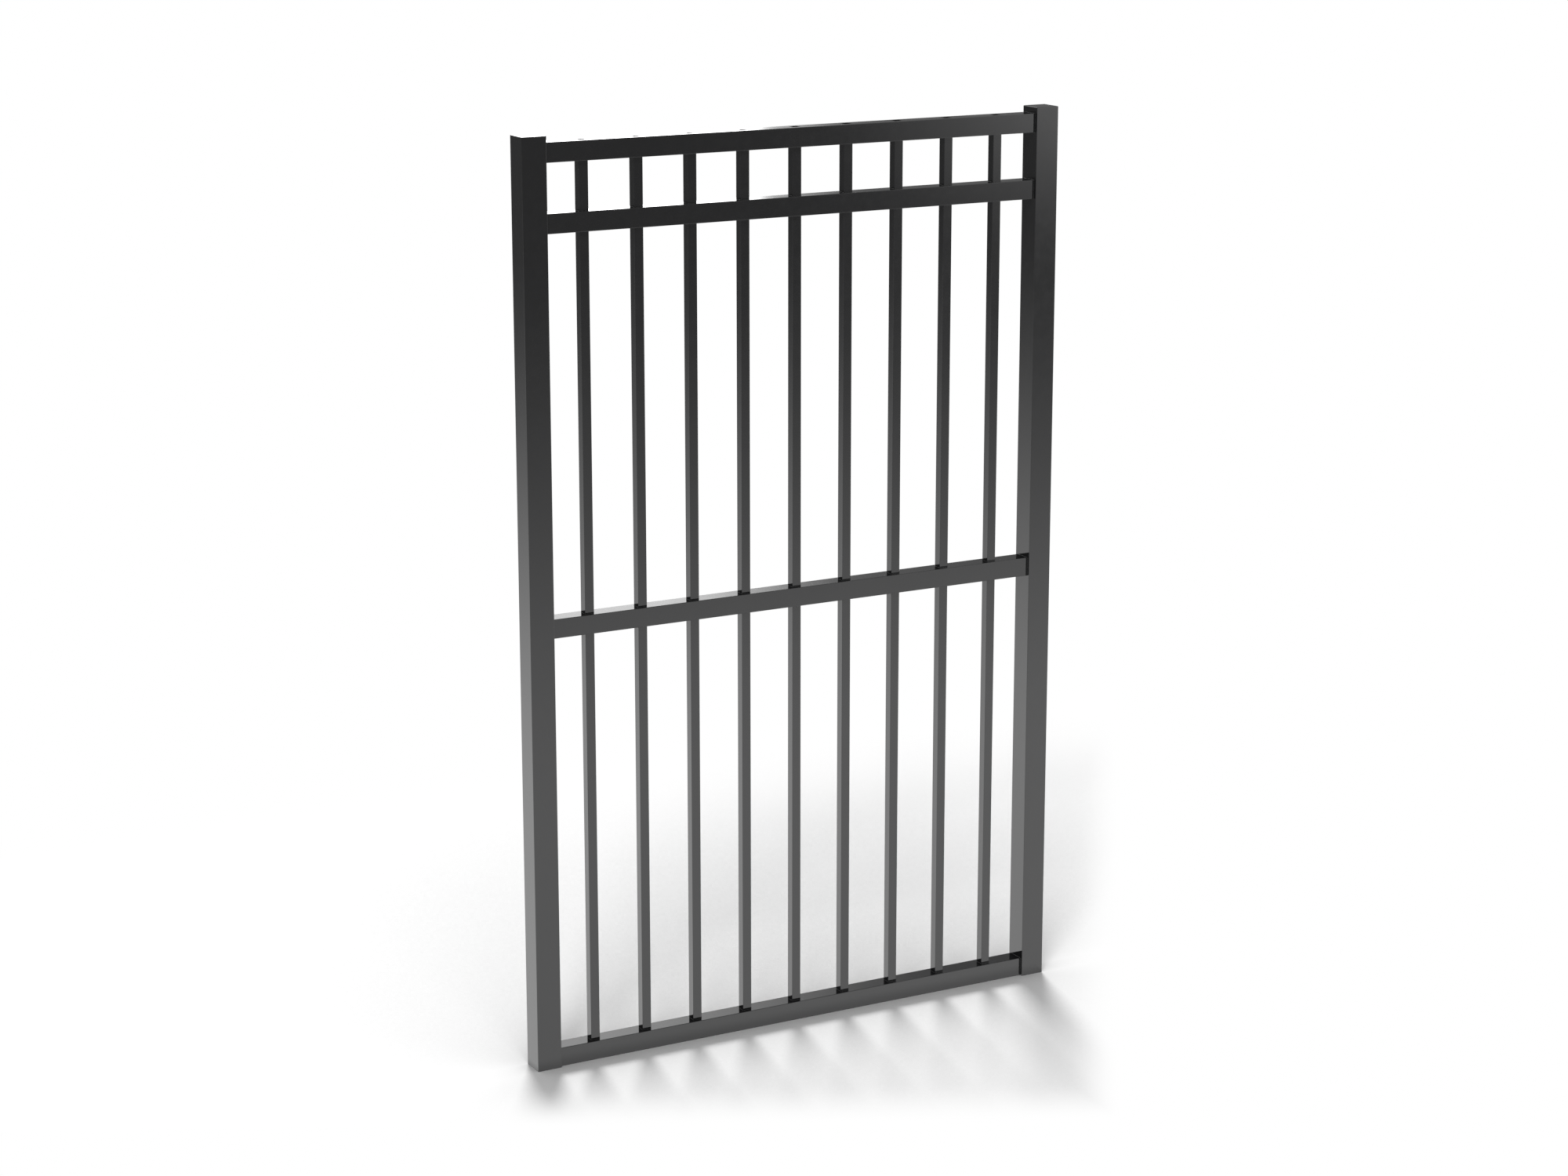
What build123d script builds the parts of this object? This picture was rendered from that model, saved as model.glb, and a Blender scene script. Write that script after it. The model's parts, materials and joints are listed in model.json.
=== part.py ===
"""Flat-top metal fence gate: one leaf of square tube, with punched rails and pickets passing through them.

Sizes are in millimetres. X runs along the leaf from the hinge side to the latch side, Y from the front
to the back, and Z is up. The origin is on the outer face of the hinge-side upright, in the middle of
its depth, at ground level.
"""

import os

from build123d import *

# Leaf: overall width, the height of the top rail's upper face, and how far the uprights stand above it
leaf_width = 1181.1
frame_height = 1828.8
upright_rise = 12.7

# Uprights: square extruded tube
upright_size = 50.8
upright_wall = 3.2
upright_corner = 0.8

# Caps: a bevelled plate that sits on the upright's end, with a skirt inside the tube
cap_plate = 3.2
cap_bevel = 0.8
cap_skirt_depth = 16.0
cap_skirt_wall = 2.0
cap_clearance = 0.2

# Rails: square extruded tube, punched through for the pickets
rail_size = 38.1
rail_wall = 2.4
rail_corner = 0.8
top_panel_gap = 95.25
middle_rail_top = 914.4

# Pickets: square extruded tube, spaced by their clear gap
picket_size = 19.05
picket_wall = 1.5
picket_corner = 0.6
picket_gap = 95.25
least_end_gap = 40.0
punch_clearance = 0.25

# Places worked out from the sizes above
rail_length = leaf_width - 2 * upright_size
picket_pitch = picket_size + picket_gap
picket_count = 1 + int((rail_length - picket_size - 2 * least_end_gap) / picket_pitch)
first_picket = leaf_width / 2 - (picket_count - 1) * picket_pitch / 2
picket_places = [first_picket + i * picket_pitch for i in range(picket_count)]
upright_places = {"left": upright_size / 2, "right": leaf_width - upright_size / 2}
cap_seat = frame_height + upright_rise - cap_plate
rail_tops = {
    "top_rail": frame_height,
    "second_rail": frame_height - rail_size - top_panel_gap,
    "middle_rail": middle_rail_top,
    "bottom_rail": rail_size,
}


def tube_section(size, wall, corner):
    """Hollow square section with eased outer corners and sharp inner ones, as an extrusion has."""
    inside = size - 2 * wall
    return RectangleRounded(size, size, corner) - Rectangle(inside, inside)


def upright(x):
    """Upright tube, from the ground to the underside of its cap."""
    section = tube_section(upright_size, upright_wall, upright_corner)
    return Pos(x, 0, 0) * extrude(section, cap_seat)


def cap(x):
    """Flat press-in cap: a bevelled plate flush with the tube, and a hollow skirt that keeps it in place."""
    bevel = min(cap_bevel, 0.75 * cap_plate)
    crown_size = upright_size - 2 * bevel
    outline = RectangleRounded(upright_size, upright_size, upright_corner)
    crown = RectangleRounded(crown_size, crown_size, upright_corner)
    shoulder = cap_plate - bevel
    plate = extrude(outline, shoulder)
    plate += loft([Pos(0, 0, shoulder) * outline, Pos(0, 0, cap_plate) * crown], ruled=True)
    skirt_size = upright_size - 2 * (upright_wall + cap_clearance)
    skirt = extrude(tube_section(skirt_size, cap_skirt_wall, upright_corner), -cap_skirt_depth)
    return Pos(x, 0, cap_seat) * (plate + skirt)


def rail(top):
    """Rail between the uprights, with a square hole for each picket through its top and bottom walls."""
    section = Plane.YZ * tube_section(rail_size, rail_wall, rail_corner)
    tube = Pos(upright_size, 0, top - rail_size / 2) * extrude(section, rail_length)
    hole_size = picket_size + 2 * punch_clearance
    punch = extrude(Rectangle(hole_size, hole_size), rail_size)
    return tube - [Pos(x, 0, top - rail_size) * punch for x in picket_places]


def picket(x):
    """Picket through all the rails, its open ends flush with the top and bottom ones."""
    section = tube_section(picket_size, picket_wall, picket_corner)
    return Pos(x, 0, 0) * extrude(section, frame_height)


pieces = {}
for side, x in upright_places.items():
    pieces[f"{side}_upright"] = upright(x)
    pieces[f"{side}_cap"] = cap(x)
for name, top in rail_tops.items():
    pieces[name] = rail(top)
for number, x in enumerate(picket_places, start=1):
    pieces[f"picket_{number}"] = picket(x)

os.makedirs("parts", exist_ok=True)
for name, piece in pieces.items():
    export_step(piece, f"parts/{name}.step")
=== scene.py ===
"""Blender scene for a flat-top metal fence gate: finishes, weld seams, floor, studio light and camera.

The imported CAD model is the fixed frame. Its tubes and caps are shown as they are, in gloss black powder
coat, and the seams that join them are added here. X runs along the leaf from the hinge side to the latch
side, Y from the front to the back, and Z is up. Lengths are in metres, unless a name says millimetres.
"""

import json
import logging
import math
from dataclasses import dataclass
from enum import Enum
from typing import Any

import bpy
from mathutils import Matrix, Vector


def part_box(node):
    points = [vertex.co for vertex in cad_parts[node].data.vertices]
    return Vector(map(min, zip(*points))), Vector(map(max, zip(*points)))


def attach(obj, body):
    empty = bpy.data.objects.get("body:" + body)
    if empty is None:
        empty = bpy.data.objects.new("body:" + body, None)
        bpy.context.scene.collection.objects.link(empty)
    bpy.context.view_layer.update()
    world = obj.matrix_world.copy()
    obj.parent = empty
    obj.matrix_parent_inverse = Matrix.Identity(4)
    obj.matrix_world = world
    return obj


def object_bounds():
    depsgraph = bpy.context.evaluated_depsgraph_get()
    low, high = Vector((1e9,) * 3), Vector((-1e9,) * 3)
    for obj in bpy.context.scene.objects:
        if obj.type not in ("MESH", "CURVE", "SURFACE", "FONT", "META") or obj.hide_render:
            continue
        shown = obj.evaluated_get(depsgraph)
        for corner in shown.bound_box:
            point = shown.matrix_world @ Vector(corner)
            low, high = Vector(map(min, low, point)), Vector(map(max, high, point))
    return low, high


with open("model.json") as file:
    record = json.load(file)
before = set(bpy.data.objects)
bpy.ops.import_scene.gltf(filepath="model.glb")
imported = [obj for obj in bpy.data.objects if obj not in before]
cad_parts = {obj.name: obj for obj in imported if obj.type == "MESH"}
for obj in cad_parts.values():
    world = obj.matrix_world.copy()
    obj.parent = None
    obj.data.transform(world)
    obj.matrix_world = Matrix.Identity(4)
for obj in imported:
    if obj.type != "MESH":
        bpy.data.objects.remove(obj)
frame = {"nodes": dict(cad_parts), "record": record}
cad_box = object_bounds()

LOG = logging.getLogger("fence_gate")
MM = 0.001
BODY = "root"
WHITE = "#ffffff"
BLACK = "#000000"

# The sRGB standard's curve from a colour code to light.
SRGB_KNEE = 0.04045
SRGB_SLOPE = 12.92
SRGB_OFFSET = 0.055
SRGB_POWER = 2.4

# Numbers of the colour sockets on Blender's mix node, which share their names with others.
MIX_SHARE = 0
MIX_FIRST = 6
MIX_SECOND = 7
MIX_RESULT = 2

# A noise pattern's values lie round its middle, and seldom past its low and high ends.
NOISE_LOW = 0.3
NOISE_MIDDLE = 0.5
NOISE_HIGH = 0.7

# Finer layers in the slow drift of a weld's size.
DRIFT_LAYERS = 1.0

# Parts of a direction's unit vector between which the levels that the gloss mirrors change over.
FRONT_TO_BACK = 0.9
STILL_AHEAD = 0.40
WELL_ASIDE = 0.56

# Shortest run that a slope is measured over, and the slope past which the floor dims no further.
SHORTEST_RUN = 0.6
STEEPEST_SLOPE = 1.0

LAMP_DISTANCE = 4.0
SHADE_RAYS = 16
VIEW_LIMIT = 100.0

Point = tuple[float, float, float]
Box = tuple[Vector, Vector]
Tree = bpy.types.NodeTree
Socket = bpy.types.NodeSocket


class Slot(Enum):
    """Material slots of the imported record."""

    TUBE = "tube_powder_coat"
    CAP = "cap_powder_coat"


def linear_colour(hex_code: str) -> tuple[float, float, float, float]:
    """Turn an sRGB hex colour into the linear colour that a shader socket takes.

    Args:
        hex_code: Six hex digits after a hash sign.

    Returns:
        Linear red, green and blue, and an alpha of 1.
    """
    channels = []
    for start in (1, 3, 5):
        value = int(hex_code[start:start + 2], 16) / 255
        if value <= SRGB_KNEE:
            channels.append(value / SRGB_SLOPE)
        else:
            channels.append(((value + SRGB_OFFSET) / (1 + SRGB_OFFSET)) ** SRGB_POWER)
    return channels[0], channels[1], channels[2], 1.0


def add_node(
    tree: Tree, kind: str, inputs: dict[str | int, Any] | None = None, **settings: Any
) -> bpy.types.Node:
    """Add a node to a tree with its settings, values and links.

    Args:
        tree: Tree of a material, a world or a geometry group.
        kind: Blender's name for the kind of node.
        inputs: Socket name or number, with a value to set or another node's output to link.
        **settings: Properties of the node itself, such as its operation.

    Returns:
        The new node.
    """
    node = tree.nodes.new(kind)
    for name, value in settings.items():
        setattr(node, name, value)
    for key, value in (inputs or {}).items():
        if isinstance(value, Socket):
            tree.links.new(value, node.inputs[key])
        else:
            node.inputs[key].default_value = value
    return node


def blank_material(name: str) -> bpy.types.Material:
    """Make a material with an empty node tree.

    Args:
        name: Name of the real material.

    Returns:
        The material.
    """
    material = bpy.data.materials.new(name)
    material.use_nodes = True
    material.node_tree.nodes.clear()
    return material


def lay_sheet(name: str, half_length: float, half_width: float, drop: float) -> bpy.types.Object:
    """Lay a flat sheet just under the gate.

    Args:
        name: Name of the sheet.
        half_length: Half its size along the leaf.
        half_width: Half its size from front to back.
        drop: How far it lies below the gate's foot.

    Returns:
        The sheet, in the scene.
    """
    mesh = bpy.data.meshes.new(name)
    corners = [
        (-half_length, -half_width, -drop), (half_length, -half_width, -drop),
        (half_length, half_width, -drop), (-half_length, half_width, -drop),
    ]
    mesh.from_pydata(corners, [], [(0, 1, 2, 3)])
    sheet = bpy.data.objects.new(name, mesh)
    bpy.context.scene.collection.objects.link(sheet)
    return sheet


def direction(azimuth_deg: float, elevation_deg: float) -> Vector:
    """Give the unit vector towards a place round the gate.

    Args:
        azimuth_deg: Degrees from straight behind the gate, growing towards its latch side.
        elevation_deg: Degrees above the floor.

    Returns:
        Unit vector in the gate's frame.
    """
    azimuth = math.radians(azimuth_deg)
    elevation = math.radians(elevation_deg)
    flat = math.cos(elevation)
    return Vector((math.sin(azimuth) * flat, math.cos(azimuth) * flat, math.sin(elevation)))


@dataclass(frozen=True)
class Grain:
    """Character of a noise pattern: its finer layers, and how strong each is beside the one before."""

    layers: float
    strength: float


TONE_GRAIN = Grain(layers=3.0, strength=0.55)
HAZE_GRAIN = Grain(layers=4.0, strength=0.6)
SWAY_GRAIN = Grain(layers=1.0, strength=0.5)
PEEL_GRAIN = Grain(layers=1.5, strength=0.45)


@dataclass(frozen=True)
class PowderCoat:
    """Black polyester powder, sprayed dry and baked until it flows into one skin.

    The eye gets a near-black body with a clear, almost mirror-like skin over it: reflections stay
    readable but waver slightly, because the melted powder freezes with a fine orange-peel ripple and the
    extruded wall under it isn't quite flat. The film's thickness shifts its tone and its gloss a little
    from place to place. The orange peel is drawn at its real size, about 2 mm, and isn't made coarser,
    because none shows in the photograph.
    """

    name: str
    deep_hex: str
    thin_hex: str
    tone_mm: float
    haze_mm: float
    glossiest: float
    haziest: float
    peel_mm: float
    peel_height_mm: float
    sway_mm: float
    sway_height_mm: float
    ior: float = 1.55

    def material(self) -> bpy.types.Material:
        """Build the coat's node material.

        Returns:
            The material, ready for a slot.
        """
        material = blank_material(self.name)
        tree = material.node_tree
        place = add_node(tree, "ShaderNodeTexCoord").outputs["Object"]
        tone, haze, sway, peel = (
            add_node(
                tree, "ShaderNodeTexNoise",
                {"Vector": place, "Scale": 1 / (size_mm * MM),
                 "Detail": grain.layers, "Roughness": grain.strength},
            ).outputs["Fac"]
            for size_mm, grain in (
                (self.tone_mm, TONE_GRAIN), (self.haze_mm, HAZE_GRAIN),
                (self.sway_mm, SWAY_GRAIN), (self.peel_mm, PEEL_GRAIN),
            )
        )
        colour = add_node(
            tree, "ShaderNodeMix",
            {MIX_SHARE: tone, MIX_FIRST: linear_colour(self.deep_hex),
             MIX_SECOND: linear_colour(self.thin_hex)},
            data_type="RGBA",
        ).outputs[MIX_RESULT]
        roughness = add_node(
            tree, "ShaderNodeMapRange",
            {"Value": haze, "From Min": NOISE_LOW, "From Max": NOISE_HIGH,
             "To Min": self.glossiest, "To Max": self.haziest},
        ).outputs["Result"]
        swayed = add_node(
            tree, "ShaderNodeBump", {"Distance": self.sway_height_mm * MM, "Height": sway}
        ).outputs["Normal"]
        rippled = add_node(
            tree, "ShaderNodeBump",
            {"Distance": self.peel_height_mm * MM, "Height": peel, "Normal": swayed},
        ).outputs["Normal"]
        coat = add_node(
            tree, "ShaderNodeBsdfPrincipled",
            {"Base Color": colour, "Roughness": roughness, "IOR": self.ior, "Normal": rippled},
        )
        add_node(tree, "ShaderNodeOutputMaterial", {"Surface": coat.outputs["BSDF"]})
        return material


# Extruded tube has long flat walls, so the coat lies evenly, with a high gloss that changes slowly.
TUBE_COAT = PowderCoat(
    name="gloss_black_powder_coat_on_tube", deep_hex="#101011", thin_hex="#161617",
    tone_mm=70.0, haze_mm=18.0, glossiest=0.07, haziest=0.11,
    peel_mm=2.6, peel_height_mm=0.002, sway_mm=95.0, sway_height_mm=0.025,
)

# Cast caps are small and hold more powder, so it flows out a little glossier, and its tone and gloss
# change over shorter distances.
CAP_COAT = PowderCoat(
    name="gloss_black_powder_coat_on_cast_cap", deep_hex="#111111", thin_hex="#181817",
    tone_mm=24.0, haze_mm=9.0, glossiest=0.05, haziest=0.09,
    peel_mm=2.0, peel_height_mm=0.002, sway_mm=30.0, sway_height_mm=0.01,
)

# Powder gathers in a weld's hollows and can't level out over its ripple, so the seam keeps a soft satin
# sheen beside the glossy tubes and hardly catches the eye.
SEAM_COAT = PowderCoat(
    name="satin_black_powder_coat_on_weld", deep_hex="#0f0f10", thin_hex="#171717",
    tone_mm=12.0, haze_mm=5.0, glossiest=0.50, haziest=0.60,
    peel_mm=1.4, peel_height_mm=0.004, sway_mm=12.0, sway_height_mm=0.01,
)


@dataclass(frozen=True)
class WeldBead:
    """Size of one run of weld round a tube, under its coat of powder."""

    radius_mm: float
    ripple_mm: float
    ripple_depth: float
    unevenness: float
    drift_mm: float
    seed: float


@dataclass
class Leaf:
    """The gate's tubes and caps, which the CAD model carries."""

    tube_coat: PowderCoat
    cap_coat: PowderCoat

    def dress(self) -> None:
        """Give each CAD node the coat of its slot."""
        coats = {Slot.TUBE.value: self.tube_coat.material(), Slot.CAP.value: self.cap_coat.material()}
        for subpart in frame["record"]["subparts"]:
            node = frame["nodes"][subpart["node"]]
            for slot in node.material_slots:
                slot.material = coats[subpart["material_slot"]]
            LOG.info("dressed %s in %s", node.name, subpart["material_slot"])


@dataclass
class Seams:
    """Weld seams that join the pickets to the rails and the rails to the uprights."""

    coat: PowderCoat
    picket_bead: WeldBead
    rail_bead: WeldBead
    picket_corner_mm: float
    rail_corner_mm: float
    ground_lift_mm: float
    flush_mm: float
    bead_sides: int
    corner_steps: int
    steps_per_ripple: int

    def build(self) -> None:
        """Make the three sets of seams as pieces that ride with the leaf."""
        tree = self.seam_tree()
        finish = self.coat.material()
        rails = [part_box(name) for name in sorted(frame["nodes"]) if name.endswith("_rail")]
        pickets = [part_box(name) for name in sorted(frame["nodes"]) if name.startswith("picket_")]
        picket = pickets[0][1].x - pickets[0][0].x
        rail = rails[0][1].z - rails[0][0].z
        lift = self.ground_lift_mm * MM
        across_picket = Vector((0.0, 0.0, 0.0))
        across_rail = Vector((0.0, math.pi / 2, 0.0))
        low = [ends for ends in rails if ends[0].z < lift]
        high = [ends for ends in rails if ends[0].z >= lift]
        self.make_piece(
            "picket_seams", tree, finish, self.picket_joints(pickets, rails), across_picket,
            (picket, picket), self.picket_corner_mm, self.picket_bead,
        )
        self.make_piece(
            "rail_end_seams", tree, finish, self.rail_joints(high, 0.0), across_rail,
            (rail, rail), self.rail_corner_mm, self.rail_bead,
        )
        self.make_piece(
            "bottom_rail_end_seams", tree, finish, self.rail_joints(low, lift), across_rail,
            (rail - lift, rail), self.rail_corner_mm, self.rail_bead,
        )

    def picket_joints(self, pickets: list[Box], rails: list[Box]) -> list[Point]:
        """Find where each picket enters and leaves a rail, but not where its open end is flush with one.

        Args:
            pickets: Lowest and highest corner of each picket.
            rails: Lowest and highest corner of each rail.

        Returns:
            Middle of each joint.
        """
        flush = self.flush_mm * MM
        joints = []
        for low, high in pickets:
            for rail_low, rail_high in rails:
                for level in (rail_low.z, rail_high.z):
                    if low.z + flush < level < high.z - flush:
                        joints.append(((low.x + high.x) / 2, (low.y + high.y) / 2, level))
        return joints

    @staticmethod
    def rail_joints(rails: list[Box], lift: float) -> list[Point]:
        """Find the middle of the seam at each rail's two ends.

        Args:
            rails: Lowest and highest corner of each rail.
            lift: How far the seam's lowest run is kept above the rail's underside, within its wall.

        Returns:
            Middle of each joint.
        """
        joints = []
        for low, high in rails:
            for end in (low.x, high.x):
                joints.append((end, (low.y + high.y) / 2, (low.z + lift + high.z) / 2))
        return joints

    def seam_tree(self) -> bpy.types.GeometryNodeTree:
        """Build the node group that runs a rippled bead round a square tube at each point it is given.

        Returns:
            The node group.
        """
        tree = bpy.data.node_groups.new("weld_seam", "GeometryNodeTree")
        tree.interface.new_socket("Joints", in_out="INPUT", socket_type="NodeSocketGeometry")
        for name in (
            "Loop Width", "Loop Height", "Tube Corner", "Bead Radius", "Ripple Pitch", "Ripple Depth",
            "Unevenness", "Drift Length", "Seed",
        ):
            tree.interface.new_socket(name, in_out="INPUT", socket_type="NodeSocketFloat")
        tree.interface.new_socket("Turn", in_out="INPUT", socket_type="NodeSocketVector")
        tree.interface.new_socket("Finish", in_out="INPUT", socket_type="NodeSocketMaterial")
        tree.interface.new_socket("Seam", in_out="OUTPUT", socket_type="NodeSocketGeometry")
        given = add_node(tree, "NodeGroupInput").outputs

        # The seam's path: a loop with the tube's own corners at each joint, in even steps.
        outline = add_node(
            tree, "GeometryNodeCurvePrimitiveQuadrilateral",
            {"Width": given["Loop Width"], "Height": given["Loop Height"]}, mode="RECTANGLE",
        )
        eased = add_node(
            tree, "GeometryNodeFilletCurve",
            {"Curve": outline.outputs["Curve"], "Radius": given["Tube Corner"], "Count": self.corner_steps},
            mode="POLY",
        )
        step = add_node(
            tree, "ShaderNodeMath", {0: given["Ripple Pitch"], 1: float(self.steps_per_ripple)},
            operation="DIVIDE",
        ).outputs["Value"]
        stepped = add_node(
            tree, "GeometryNodeResampleCurve",
            {"Curve": eased.outputs["Curve"], "Length": step}, mode="LENGTH",
        )
        turn = add_node(tree, "FunctionNodeEulerToRotation", {"Euler": given["Turn"]})
        loops = add_node(
            tree, "GeometryNodeInstanceOnPoints",
            {"Points": given["Joints"], "Instance": stepped.outputs["Curve"],
             "Rotation": turn.outputs["Rotation"]},
        )
        paths = add_node(tree, "GeometryNodeRealizeInstances", {"Geometry": loops.outputs["Instances"]})

        # The bead's size along the path: an even ripple on a slow drift.
        along = add_node(tree, "GeometryNodeSplineParameter").outputs["Length"]
        turns = add_node(
            tree, "ShaderNodeMath", {0: along, 1: given["Ripple Pitch"]}, operation="DIVIDE"
        ).outputs["Value"]
        angle = add_node(
            tree, "ShaderNodeMath", {0: turns, 1: 2 * math.pi}, operation="MULTIPLY"
        ).outputs["Value"]
        wave = add_node(tree, "ShaderNodeMath", {0: angle}, operation="SINE").outputs["Value"]
        rippled = add_node(
            tree, "ShaderNodeMath", {0: wave, 1: given["Ripple Depth"], 2: 1.0}, operation="MULTIPLY_ADD"
        ).outputs["Value"]
        place = add_node(tree, "GeometryNodeInputPosition").outputs["Position"]
        drift_scale = add_node(
            tree, "ShaderNodeMath", {0: 1.0, 1: given["Drift Length"]}, operation="DIVIDE"
        ).outputs["Value"]
        drift = add_node(
            tree, "ShaderNodeTexNoise",
            {"Vector": place, "W": given["Seed"], "Scale": drift_scale, "Detail": DRIFT_LAYERS},
            noise_dimensions="4D",
        ).outputs["Fac"]
        centred = add_node(
            tree, "ShaderNodeMath", {0: drift, 1: NOISE_MIDDLE}, operation="SUBTRACT"
        ).outputs["Value"]
        swell = add_node(
            tree, "ShaderNodeMath", {0: centred, 1: given["Unevenness"], 2: rippled},
            operation="MULTIPLY_ADD",
        ).outputs["Value"]

        # The bead itself, smooth and in its coat.
        section = add_node(
            tree, "GeometryNodeCurvePrimitiveCircle",
            {"Resolution": self.bead_sides, "Radius": given["Bead Radius"]}, mode="RADIUS",
        )
        bead = add_node(
            tree, "GeometryNodeCurveToMesh",
            {"Curve": paths.outputs["Geometry"], "Profile Curve": section.outputs["Curve"], "Scale": swell},
        )
        smooth = add_node(tree, "GeometryNodeSetShadeSmooth", {"Geometry": bead.outputs["Mesh"]})
        whole = add_node(tree, "GeometryNodeRealizeInstances", {"Geometry": smooth.outputs["Geometry"]})
        dressed = add_node(
            tree, "GeometryNodeSetMaterial",
            {"Geometry": whole.outputs["Geometry"], "Material": given["Finish"]},
        )
        add_node(tree, "NodeGroupOutput", {"Seam": dressed.outputs["Geometry"]})
        return tree

    @staticmethod
    def make_piece(
        name: str, tree: bpy.types.GeometryNodeTree, finish: bpy.types.Material, joints: list[Point],
        turn: Vector, loop: tuple[float, float], corner_mm: float, bead: WeldBead,
    ) -> None:
        """Run the seam group on a set of joints and keep the result as one plain mesh.

        Args:
            name: Name of the piece.
            tree: Seam node group.
            finish: Coat of the seam.
            joints: Middle of each joint.
            turn: Rotation that lays a loop across its tube, in radians about each axis.
            loop: Width and height of the seam's path.
            corner_mm: Radius of the tube's corners.
            bead: Size of the weld.
        """
        points = bpy.data.meshes.new(name + "_joints")
        points.from_pydata(joints, [], [])
        piece = bpy.data.objects.new(name, points)
        bpy.context.scene.collection.objects.link(piece)
        modifier = piece.modifiers.new("weld_seam", "NODES")
        modifier.node_group = tree
        values = {
            "Loop Width": loop[0],
            "Loop Height": loop[1],
            "Tube Corner": corner_mm * MM,
            "Bead Radius": bead.radius_mm * MM,
            "Ripple Pitch": bead.ripple_mm * MM,
            "Ripple Depth": bead.ripple_depth,
            "Unevenness": bead.unevenness,
            "Drift Length": bead.drift_mm * MM,
            "Seed": bead.seed,
            "Turn": turn,
            "Finish": finish,
        }
        for socket in tree.interface.items_tree:
            if socket.in_out == "INPUT" and socket.name in values:
                modifier[socket.identifier] = values[socket.name]
        graph = bpy.context.evaluated_depsgraph_get()
        made = bpy.data.meshes.new_from_object(piece.evaluated_get(graph))
        piece.modifiers.remove(modifier)
        piece.data = made
        made.name = name
        bpy.data.meshes.remove(points)
        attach(piece, BODY)
        LOG.info("made %s: %d joints, %d faces", name, len(joints), len(made.polygons))


@dataclass(frozen=True)
class Panel:
    """Soft light panel that only shows in the gate's reflections, by its edges in degrees."""

    left: float
    right: float
    low: float
    high: float
    side_blur: float
    low_blur: float
    high_blur: float
    level: float


@dataclass(frozen=True)
class SoftSun:
    """Broad soft light of even strength, by its place round the gate and its width in degrees."""

    name: str
    azimuth: float
    elevation: float
    width: float
    strength: float


@dataclass(frozen=True)
class ContactShade:
    """Painted shade: darkens the floor's colour by how much stands near, on the side that a light is on."""

    azimuth: float
    elevation: float
    reach: float
    depth: float


@dataclass(frozen=True)
class FloorFade:
    """Line across the floor past which it turns plain white, by the way it faces and its soft edge."""

    azimuth: float
    start: float
    end: float


@dataclass(frozen=True)
class FootShade:
    """Painted shade on the floor round the gate's foot, seen only in the gloss, by its soft edges and the
    light it leaves.

    The start and the end of its edge are measured from the gate's middle plane, and the overhang from the
    leaf's two ends.
    """

    start: float
    end: float
    overhang: float
    light_left: float


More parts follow.
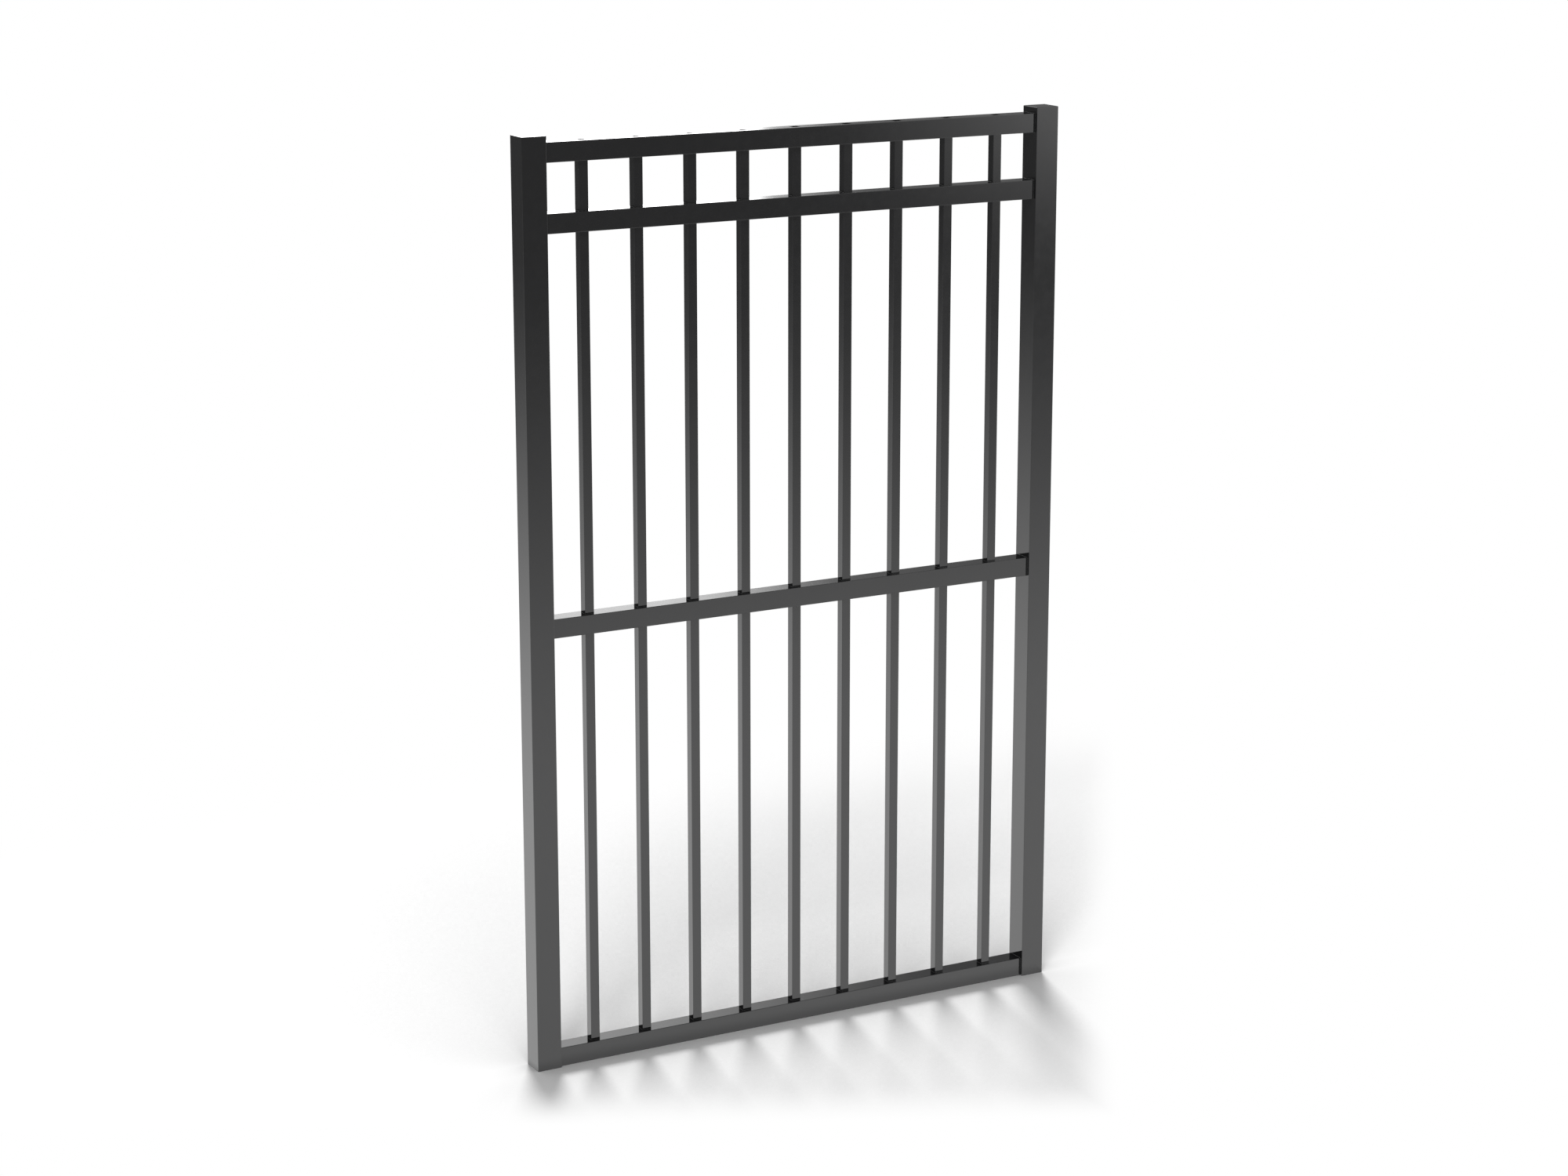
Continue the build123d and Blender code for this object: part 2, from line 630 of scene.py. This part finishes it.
@dataclass
class Studio:
    """White studio: floor, soft lights, and the surroundings that the gloss mirrors.

    In the gloss, the floor is bright near the gate and dark in the distance. A slope is the fall of a
    line of sight over its run straight away from the gate, so equal slopes meet the floor along a line
    parallel to it.
    """

    panels: tuple[Panel, ...]
    suns: tuple[SoftSun, ...]
    shades: tuple[ContactShade, ...]
    fades: tuple[FloorFade, ...]
    foot_shade: FootShade
    floor_hex: str
    floor_size: float
    floor_drop: float
    ambient: float
    dark_front: float
    dark_back: float
    bright_ahead: float
    bright_aside: float
    dark_slope: float
    bright_slope: float
    steep_slope: float
    steep_share: float

    def build(self) -> None:
        """Set up the colours, the world, the lights and the floor."""
        bpy.context.scene.view_settings.view_transform = "Standard"
        self.build_world()
        for sun in self.suns:
            self.build_sun(sun)
        self.build_floor()
        self.build_foot_shade()

    def build_world(self) -> None:
        """Build the surroundings: white to the camera, even for soft light, and panels for the gloss."""
        world = bpy.data.worlds.new("white_studio")
        bpy.context.scene.world = world
        world.use_nodes = True
        world.cycles.sampling_method = "NONE"
        tree = world.node_tree
        tree.nodes.clear()
        towards = add_node(tree, "ShaderNodeTexCoord").outputs["Generated"]
        axes = add_node(tree, "ShaderNodeSeparateXYZ", {"Vector": towards}).outputs
        azimuth = add_node(
            tree, "ShaderNodeMath", {0: axes["X"], 1: axes["Y"]}, operation="ARCTAN2"
        ).outputs["Value"]
        elevation = add_node(tree, "ShaderNodeMath", {0: axes["Z"]}, operation="ARCSINE").outputs["Value"]

        # The floor and the dark above it, as the gloss mirrors them.
        dark = add_node(
            tree, "ShaderNodeMapRange",
            {"Value": axes["Y"], "From Min": -FRONT_TO_BACK, "From Max": FRONT_TO_BACK,
             "To Min": self.dark_front, "To Max": self.dark_back},
        ).outputs["Result"]
        aside = add_node(tree, "ShaderNodeMath", {0: axes["X"]}, operation="ABSOLUTE").outputs["Value"]
        bright = add_node(
            tree, "ShaderNodeMapRange",
            {"Value": aside, "From Min": STILL_AHEAD, "From Max": WELL_ASIDE,
             "To Min": self.bright_ahead, "To Max": self.bright_aside},
        ).outputs["Result"]
        away = add_node(tree, "ShaderNodeMath", {0: axes["Y"]}, operation="ABSOLUTE").outputs["Value"]
        run = add_node(
            tree, "ShaderNodeMath", {0: away, 1: SHORTEST_RUN}, operation="MAXIMUM"
        ).outputs["Value"]
        slope = add_node(
            tree, "ShaderNodeMath", {0: axes["Z"], 1: run}, operation="DIVIDE"
        ).outputs["Value"]
        near = add_node(
            tree, "ShaderNodeMapRange",
            {"Value": slope, "From Min": -STEEPEST_SLOPE, "From Max": -self.steep_slope,
             "To Min": self.steep_share, "To Max": 1.0},
        ).outputs["Result"]
        floor = add_node(
            tree, "ShaderNodeMath", {0: bright, 1: near}, operation="MULTIPLY"
        ).outputs["Value"]
        level = add_node(
            tree, "ShaderNodeMapRange",
            {"Value": slope, "From Min": -self.bright_slope, "From Max": -self.dark_slope,
             "To Min": floor, "To Max": dark},
            interpolation_type="SMOOTHSTEP",
        ).outputs["Result"]
        for panel in self.panels:
            glow = self.panel_glow(tree, panel, azimuth, elevation)
            level = add_node(tree, "ShaderNodeMath", {0: level, 1: glow}, operation="ADD").outputs["Value"]

        # What each kind of ray sees.
        path = add_node(tree, "ShaderNodeLightPath").outputs
        mirrored = add_node(
            tree, "ShaderNodeMath", {0: path["Is Glossy Ray"], 1: level}, operation="MULTIPLY"
        ).outputs["Value"]
        lit = add_node(
            tree, "ShaderNodeMath", {0: path["Is Diffuse Ray"], 1: self.ambient, 2: mirrored},
            operation="MULTIPLY_ADD",
        ).outputs["Value"]
        seen = add_node(
            tree, "ShaderNodeMath", {0: path["Is Camera Ray"], 1: path["Is Transmission Ray"]},
            operation="MAXIMUM",
        ).outputs["Value"]
        strength = add_node(tree, "ShaderNodeMath", {0: seen, 1: lit}, operation="ADD").outputs["Value"]
        backdrop = add_node(
            tree, "ShaderNodeBackground", {"Color": linear_colour(WHITE), "Strength": strength}
        )
        add_node(tree, "ShaderNodeOutputWorld", {"Surface": backdrop.outputs["Background"]})
        LOG.info("built the studio's surroundings with %d panels", len(self.panels))

    @staticmethod
    def panel_glow(tree: Tree, panel: Panel, azimuth: Socket, elevation: Socket) -> Socket:
        """Add a panel's glow to the world's tree.

        Args:
            tree: The world's tree.
            panel: The panel.
            azimuth: Socket with the direction's angle round the gate.
            elevation: Socket with the direction's angle above the floor.

        Returns:
            Socket with the panel's light in that direction.
        """
        edges = (
            (azimuth, panel.left, panel.side_blur, 0.0, 1.0),
            (azimuth, panel.right, panel.side_blur, 1.0, 0.0),
            (elevation, panel.low, panel.low_blur, 0.0, 1.0),
            (elevation, panel.high, panel.high_blur, 1.0, 0.0),
        )
        glow = panel.level
        for angle, edge, blur, before, after in edges:
            side = add_node(
                tree, "ShaderNodeMapRange",
                {"Value": angle, "From Min": math.radians(edge - blur),
                 "From Max": math.radians(edge + blur), "To Min": before, "To Max": after},
                interpolation_type="SMOOTHSTEP",
            ).outputs["Result"]
            glow = add_node(
                tree, "ShaderNodeMath", {0: side, 1: glow}, operation="MULTIPLY"
            ).outputs["Value"]
        return glow

    @staticmethod
    def build_sun(sun: SoftSun) -> None:
        """Add a broad soft light that shades the floor, and leaves the gloss to the panels.

        Args:
            sun: The light.
        """
        lamp = bpy.data.lights.new(sun.name, "SUN")
        lamp.energy = sun.strength
        lamp.angle = math.radians(sun.width)
        light = bpy.data.objects.new(sun.name, lamp)
        towards = direction(sun.azimuth, sun.elevation)
        light.location = towards * LAMP_DISTANCE
        light.rotation_euler = towards.to_track_quat("Z", "Y").to_euler()
        light.visible_glossy = False
        bpy.context.scene.collection.objects.link(light)
        LOG.info("added light %s", sun.name)

    def build_floor(self) -> None:
        """Lay a white floor that takes the shadows and painted contact shade in its colour, fades to plain
        white and stays out of the gloss.
        """
        half = self.floor_size / 2
        floor = lay_sheet("floor", half, half, self.floor_drop)

        # Matt paper scatters light evenly, so the eye gets soft shadows on it and no sheen.
        material = blank_material("matt_white_studio_paper")
        tree = material.node_tree
        # Painted shade: the paper's colour is darkened near the gate by ambient occlusion leaning towards
        # each light.
        paper_with_painted_shade = linear_colour(self.floor_hex)
        for shade in self.shades:
            lean = direction(shade.azimuth, shade.elevation)
            towards = add_node(tree, "ShaderNodeCombineXYZ", {"X": lean.x, "Y": lean.y, "Z": lean.z})
            near = add_node(
                tree, "ShaderNodeAmbientOcclusion",
                {"Distance": shade.reach, "Normal": towards.outputs["Vector"]}, samples=SHADE_RAYS,
            )
            share = add_node(
                tree, "ShaderNodeMath", {0: near.outputs["AO"], 1: shade.depth}, operation="POWER"
            ).outputs["Value"]
            paper_with_painted_shade = add_node(
                tree, "ShaderNodeMix",
                {MIX_SHARE: share, MIX_FIRST: linear_colour(BLACK), MIX_SECOND: paper_with_painted_shade}, data_type="RGBA",
            ).outputs[MIX_RESULT]
        paper = add_node(tree, "ShaderNodeBsdfDiffuse", {"Color": paper_with_painted_shade})
        glow = add_node(tree, "ShaderNodeEmission", {"Color": linear_colour(WHITE), "Strength": 1.0})
        place = add_node(tree, "ShaderNodeTexCoord").outputs["Object"]
        white = 0.0
        for fade in self.fades:
            past = add_node(
                tree, "ShaderNodeVectorMath", {0: place, 1: direction(fade.azimuth, 0.0)},
                operation="DOT_PRODUCT",
            ).outputs["Value"]
            share = add_node(
                tree, "ShaderNodeMapRange", {"Value": past, "From Min": fade.start, "From Max": fade.end},
                interpolation_type="SMOOTHSTEP",
            ).outputs["Result"]
            white = add_node(
                tree, "ShaderNodeMath", {0: share, 1: white}, operation="MAXIMUM"
            ).outputs["Value"]
        blend = add_node(
            tree, "ShaderNodeMixShader", {0: white, 1: paper.outputs["BSDF"], 2: glow.outputs["Emission"]}
        )
        add_node(tree, "ShaderNodeOutputMaterial", {"Surface": blend.outputs["Shader"]})
        floor.data.materials.append(material)
        floor.visible_glossy = False
        LOG.info("laid the floor")

    def build_foot_shade(self) -> None:
        """Dim what the gate's lowest few centimetres mirror with a sheet of painted shade, as the floor at
        its foot lies in its shade.
        """
        shade = self.foot_shade
        low, high = cad_box
        half = (high[0] - low[0]) / 2
        tip = half + shade.overhang
        veil = lay_sheet("foot_shade", tip, shade.end, self.floor_drop / 2)
        veil.location.x = low[0] + half

        # Painted shade: a clear film, seen only in the gloss, that dims what the gloss sees through it, in
        # place of the paper's own shade.
        material = blank_material("painted_shade_on_studio_paper")
        tree = material.node_tree
        place = add_node(tree, "ShaderNodeTexCoord").outputs["Object"]
        apart = add_node(tree, "ShaderNodeVectorMath", {0: place}, operation="ABSOLUTE").outputs["Vector"]
        axes = add_node(tree, "ShaderNodeSeparateXYZ", {"Vector": apart}).outputs
        share = 0.0
        for axis, start, end in (("X", half, tip), ("Y", shade.start, shade.end)):
            light = add_node(
                tree, "ShaderNodeMapRange",
                {"Value": axes[axis], "From Min": start, "From Max": end, "To Min": shade.light_left},
                interpolation_type="SMOOTHSTEP",
            ).outputs["Result"]
            share = add_node(
                tree, "ShaderNodeMath", {0: light, 1: share}, operation="MAXIMUM"
            ).outputs["Value"]
        film = add_node(tree, "ShaderNodeBsdfTransparent", {"Color": share})
        add_node(tree, "ShaderNodeOutputMaterial", {"Surface": film.outputs["BSDF"]})
        veil.data.materials.append(material)
        veil.visible_camera = False
        veil.visible_diffuse = False
        veil.visible_transmission = False
        veil.visible_shadow = False
        LOG.info("laid the shade at the gate's foot")


@dataclass(frozen=True)
class Viewpoint:
    """The photograph's viewpoint, fitted to the gate's edges."""

    place: Point
    target: Point
    lens_mm: float
    sensor_mm: float

    def build(self) -> None:
        """Add the camera and make it the scene's own."""
        lens = bpy.data.cameras.new("viewpoint")
        lens.sensor_fit = "HORIZONTAL"
        lens.sensor_width = self.sensor_mm
        lens.lens = self.lens_mm
        lens.clip_end = VIEW_LIMIT
        camera = bpy.data.objects.new("viewpoint", lens)
        camera.location = self.place
        towards = Vector(self.target) - Vector(self.place)
        camera.rotation_euler = towards.to_track_quat("-Z", "Y").to_euler()
        bpy.context.scene.collection.objects.link(camera)
        bpy.context.scene.camera = camera
        LOG.info("placed the camera")


PICKET_BEAD = WeldBead(
    radius_mm=0.4, ripple_mm=3.0, ripple_depth=0.05, unevenness=0.5, drift_mm=9.0, seed=3.0
)
RAIL_BEAD = WeldBead(
    radius_mm=0.6, ripple_mm=3.6, ripple_depth=0.06, unevenness=0.5, drift_mm=9.0, seed=7.0
)

# What the gloss mirrors, each with its use in the photograph's view.
PANELS = (
    # Low behind the gate: the white tops of the two upper rails and the left cap, with a crisp end.
    Panel(
        left=-14, right=28.15, low=1.5, high=10.5,
        side_blur=0.32, low_blur=2.5, high_blur=2.5, level=5.2,
    ),
    # Its soft rim, where those tops turn dark.
    Panel(
        left=-14, right=29.05, low=1.5, high=10.5,
        side_blur=1.05, low_blur=2.5, high_blur=2.5, level=0.65,
    ),
    # Above it: the top of the middle rail.
    Panel(
        left=-14, right=28.2, low=10.5, high=18,
        side_blur=1.9, low_blur=2.5, high_blur=2, level=1.75,
    ),
    # Higher and softer: the top of the bottom rail.
    Panel(
        left=-14, right=27.8, low=18, high=25,
        side_blur=3.8, low_blur=2.0, high_blur=10, level=1.75,
    ),
    # The soft rim of these two.
    Panel(
        left=-14, right=30.4, low=10.5, high=30,
        side_blur=5.0, low_blur=2.5, high_blur=10, level=0.2,
    ),
    # High behind the gate: the left edges of the caps.
    Panel(
        left=-24, right=8, low=29, high=44,
        side_blur=5.0, low_blur=3.0, high_blur=5, level=2.0,
    ),
    # In front, to the right: the upper right of the front faces.
    Panel(
        left=96, right=148.2, low=-6.5, high=34,
        side_blur=3.0, low_blur=2.4, high_blur=8, level=2.5,
    ),
    # Behind and in front, to the left: a little light on the edges that face that way.
    Panel(
        left=-78, right=-44, low=3.0, high=32,
        side_blur=5.0, low_blur=3.0, high_blur=8, level=0.8,
    ),
    Panel(
        left=-150, right=-98, low=-4, high=34,
        side_blur=6.0, low_blur=4.0, high_blur=8, level=0.8,
    ),
    # Overhead, all round: the tops seen from above.
    Panel(
        left=-400, right=400, low=50, high=200,
        side_blur=1.0, low_blur=10.0, high_blur=1, level=0.9,
    ),
)

SUNS = (
    SoftSun(name="front_key_light", azimuth=-138, elevation=42, width=16, strength=1.40),
    SoftSun(name="front_fill_light", azimuth=-160, elevation=46, width=30, strength=0.64),
    SoftSun(name="back_soft_light", azimuth=22, elevation=38, width=18, strength=3.05),
)

# Painted shade in the floor's colour, from ambient occlusion leaning towards each light.
SHADES = (
    ContactShade(azimuth=-150, elevation=35, reach=1.8, depth=0.95),
    ContactShade(azimuth=22, elevation=35, reach=1.3, depth=0.45),
)

FADES = (
    FloorFade(azimuth=-153.4, start=0.10, end=0.30),
    FloorFade(azimuth=0.0, start=1.0, end=1.9),
    FloorFade(azimuth=124.2, start=1.05, end=1.16),
)


def main() -> None:
    """Build the gate's looks and the studio round it."""
    logging.basicConfig(level=logging.INFO, format="%(message)s")
    Viewpoint(
        place=(-2.59717, -5.78318, 2.53862), target=(0.566914, 0.0, 0.912174),
        lens_mm=78.116, sensor_mm=36.0,
    ).build()
    Leaf(tube_coat=TUBE_COAT, cap_coat=CAP_COAT).dress()
    Seams(
        coat=SEAM_COAT, picket_bead=PICKET_BEAD, rail_bead=RAIL_BEAD,
        picket_corner_mm=0.6, rail_corner_mm=0.8, ground_lift_mm=1.7, flush_mm=1.0,
        bead_sides=8, corner_steps=3, steps_per_ripple=4,
    ).build()
    Studio(
        panels=PANELS, suns=SUNS, shades=SHADES, fades=FADES,
        foot_shade=FootShade(start=0.027, end=0.084, overhang=0.016, light_left=0.73),
        floor_hex="#fdfdfd", floor_size=60.0, floor_drop=0.5 * MM, ambient=0.04,
        dark_front=0.32, dark_back=0.17, bright_ahead=1.77, bright_aside=1.98,
        dark_slope=0.15, bright_slope=0.355, steep_slope=0.42, steep_share=0.55,
    ).build()


if __name__ == "__main__":
    main()
